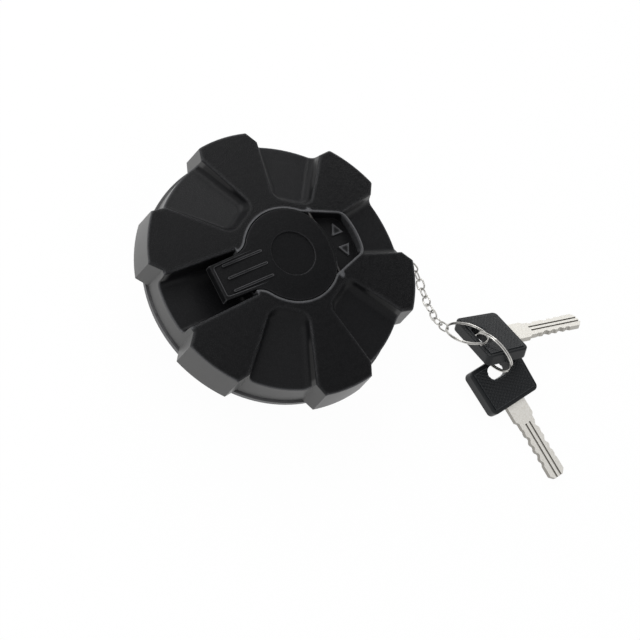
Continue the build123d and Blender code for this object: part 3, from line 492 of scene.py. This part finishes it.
satin, start, grid = new_finish("satin_nickel")
polish = start.node("ShaderNodeTexNoise", (), {"Vector": grid, "Scale": 1.4, "Detail": 5.0})
scuff = start.node("ShaderNodeTexNoise", (), {"Vector": grid, "Scale": 9.0, "Detail": 2.0})
bump = start.node("ShaderNodeBump", (), {"Strength": 0.4, "Distance": 0.00002, "Height": scuff})
upward = start.node("ShaderNodeTexCoord", output="Normal")
tilt = start.node("ShaderNodeSeparateXYZ", (), {0: upward}, "Z")
# Painted shade: steep edge faces, and the grooves found by ambient occlusion below, are tinted dark.
steep_edge_shade = 1.0 - tilt.maths("ABSOLUTE").between(0.45, 0.72)
nearby = {"samples": 8, "only_local": True}
nook = start.node("ShaderNodeAmbientOcclusion", nearby, {"Distance": 0.0014}, "AO")
groove_shade = (1.0 - nook).between(0.10, 0.45)
face_tint = polish.between(0.35, 0.75).blend(blade_pale, blade_deep)
surface = start.node(
    "ShaderNodeBsdfPrincipled",
    (),
    {
        "Base Color": (steep_edge_shade * 0.85).maths("MAXIMUM", groove_shade * 0.9).blend(face_tint, blade_shade),
        "Metallic": 0.8,
        "Roughness": polish * 0.16 + 0.30,
        "Normal": bump,
    },
)
start.node("ShaderNodeOutputMaterial", (), {"Surface": surface})
dress("key_1_blade", satin)
dress("key_2_blade", satin)


# The key heads: hard black plastic moulded over the blades in two halves. The
# smooth rim is the CAD solid, and the knurled field of small diamonds is here.
head_black = (0.0060, 0.0072, 0.0082, 1.0)
head_edge_highlight = (0.060, 0.065, 0.070, 1.0)

headed, start, grid = new_finish("head_plastic")
spark = start.node("ShaderNodeTexNoise", (), {"Vector": grid, "Scale": 2.5, "Detail": 3.0})
# Painted highlight: the convex edges are tinted paler, in flecks.
crest_highlight = crest(start, 0.0004)
bump = start.node("ShaderNodeBump", (), {"Strength": 1.0, "Distance": 0.00002, "Height": spark})
surface = start.node(
    "ShaderNodeBsdfPrincipled",
    (),
    {
        "Base Color": (crest_highlight * spark).blend(head_black, head_edge_highlight),
        "Roughness": spark * 0.15 + 0.32,
        "Normal": bump,
        "IOR": 1.35,
    },
)
start.node("ShaderNodeOutputMaterial", (), {"Surface": surface})
dress("key_1_head", headed)
dress("key_2_head", headed)


# The knurl: a field of small raised diamonds in the same plastic on both faces
# of each key head, cut off square at the smooth rim and clear of the slot.
knurl_pitch = 0.00175
knurl_rise = 0.00026
knurl_squash = (0.72, 0.95, 1)
knurl_skirt = 0.0002
cells = 34
field_face = 0.00311
field_back = 0.0035
field_front = 0.0146
field_back_half = 0.0126
field_front_half = 0.0119
slot_half_length = 0.0065
slot_half_width = 0.0035
key_places = (
    ("key_1", (0.056281, 0.087200, -0.013796), 79.976, -1.002, -32.493),
    ("key_2", (0.070678, 0.089564, -0.018255), 6.554, -4.874, 1.612),
)

field_middle = (field_front - field_back) / 2
slant = Vector((field_back_half - field_front_half, field_front + field_back, 0)).normalized()
sides = (
    ((-field_back, 0, 0), (-1, 0, 0)),
    ((field_front, 0, 0), (1, 0, 0)),
    ((-field_back, field_back_half, 0), slant),
    ((-field_back, -field_back_half, 0), (slant.x, -slant.y, 0)),
)
diamonds = bmesh.new()
bmesh.ops.create_grid(diamonds, x_segments=cells, y_segments=cells, size=cells * knurl_pitch / 2)
bmesh.ops.poke(diamonds, faces=diamonds.faces, offset=knurl_rise)
bmesh.ops.rotate(diamonds, verts=diamonds.verts, matrix=Matrix.Rotation(radians(45), 3, "Z"))
bmesh.ops.scale(diamonds, verts=diamonds.verts, vec=knurl_squash)
bmesh.ops.translate(diamonds, verts=diamonds.verts, vec=(field_middle, 0, field_face))
for point, outward in sides:
    whole = diamonds.verts[:] + diamonds.edges[:] + diamonds.faces[:]
    bmesh.ops.bisect_plane(diamonds, geom=whole, plane_co=point, plane_no=outward, clear_outer=True)
hole = []
for face in diamonds.faces:
    spot = face.calc_center_median()
    past = max(abs(spot.y) - slot_half_length + slot_half_width, 0)
    if (spot.x ** 2 + past ** 2) ** 0.5 < slot_half_width:
        hole.append(face)
bmesh.ops.delete(diamonds, geom=hole, context="FACES")
border = [edge for edge in diamonds.edges if edge.is_boundary]
skirt = bmesh.ops.extrude_edge_only(diamonds, edges=border)["geom"]
for part in skirt:
    if isinstance(part, bmesh.types.BMVert):
        part.co.z = field_face - knurl_skirt
whole = diamonds.verts[:] + diamonds.edges[:] + diamonds.faces[:]
copied = bmesh.ops.duplicate(diamonds, geom=whole)["geom"]
bmesh.ops.rotate(
    diamonds,
    verts=[part for part in copied if isinstance(part, bmesh.types.BMVert)],
    matrix=Matrix.Rotation(radians(180), 3, "X"),
)
knurl_mesh = bpy.data.meshes.new("knurl")
diamonds.to_mesh(knurl_mesh)
diamonds.free()
knurl_mesh.materials.append(headed)
for key, centre, azimuth, pitch, roll in key_places:
    knurl = bpy.data.objects.new(key + "_knurl", knurl_mesh.copy())
    facing = Matrix.Rotation(radians(azimuth), 4, "Z") @ Matrix.Rotation(radians(-pitch), 4, "Y")
    knurl.data.transform(Matrix.Translation(centre) @ facing @ Matrix.Rotation(radians(roll), 4, "X"))
    bpy.context.scene.collection.objects.link(knurl)
    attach(knurl, key)
